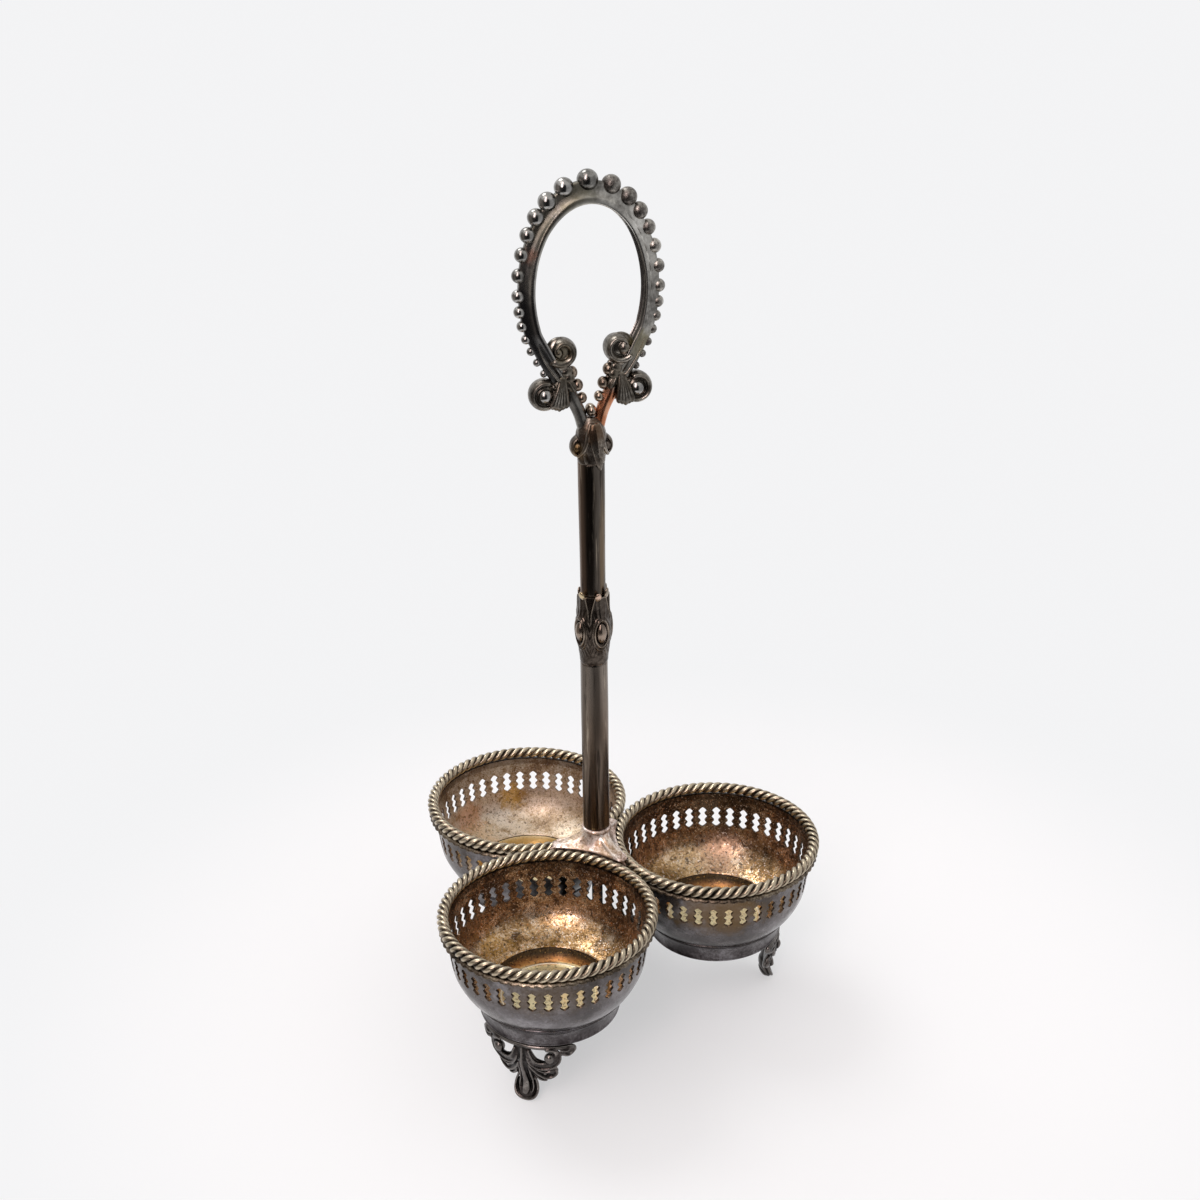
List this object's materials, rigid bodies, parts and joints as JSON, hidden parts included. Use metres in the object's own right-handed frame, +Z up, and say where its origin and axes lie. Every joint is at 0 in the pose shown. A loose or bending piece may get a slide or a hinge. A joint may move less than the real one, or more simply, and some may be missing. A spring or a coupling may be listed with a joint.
{
  "type": "three-bowl condiment stand",
  "caption": "Cruet-style table stand: three pierced bowls with rope rims on scroll feet round a central stem with a knop and an oval ring handle.",
  "frame": {"origin": "on the floor, under the middle of the bounding box; the stem's axis stands at x = 0, y = +11.0 mm", "axes": "+Z up along the stem, -Y out through the front bowl, +X towards the right bowl's side"},
  "size_m": [0.1528, 0.1424, 0.3077],
  "materials": {
    "bowl_plate": "tarnished silver plate, grey outside and brown-gold inside",
    "rope_plate": "rubbed silver plate on the crowns, black between the strands",
    "cup_plate": "tarnished silver plate",
    "dark_casting": "near-black tarnished casting",
    "pale_plate": "pale silver plate with a pink cast",
    "stem_plate": "dark brown-black tarnished tube",
    "handle_plate": "dark gunmetal tarnish with worn copper on the edges",
    "fixings": "dull steel"
  },
  "bodies": {
    "root": {"bowl_front": "bowl_plate", "bowl_right": "bowl_plate", "bowl_left": "bowl_plate", "rope_border_front": "rope_plate", "rope_border_right": "rope_plate", "rope_border_left": "rope_plate", "base_cup_front": "cup_plate", "base_cup_right": "cup_plate", "base_cup_left": "cup_plate", "scroll_foot_front": "dark_casting", "scroll_foot_right": "dark_casting", "scroll_foot_left": "dark_casting", "hub": "pale_plate", "stem_bead": "pale_plate", "lower_tube": "stem_plate", "knop": "handle_plate", "upper_tube": "stem_plate", "handle_collar": "handle_plate", "ring_handle": "handle_plate", "brace": "dark_casting", "tie_rod": "fixings", "washer": "fixings", "nut": "fixings"}
  },
  "joints": []
}
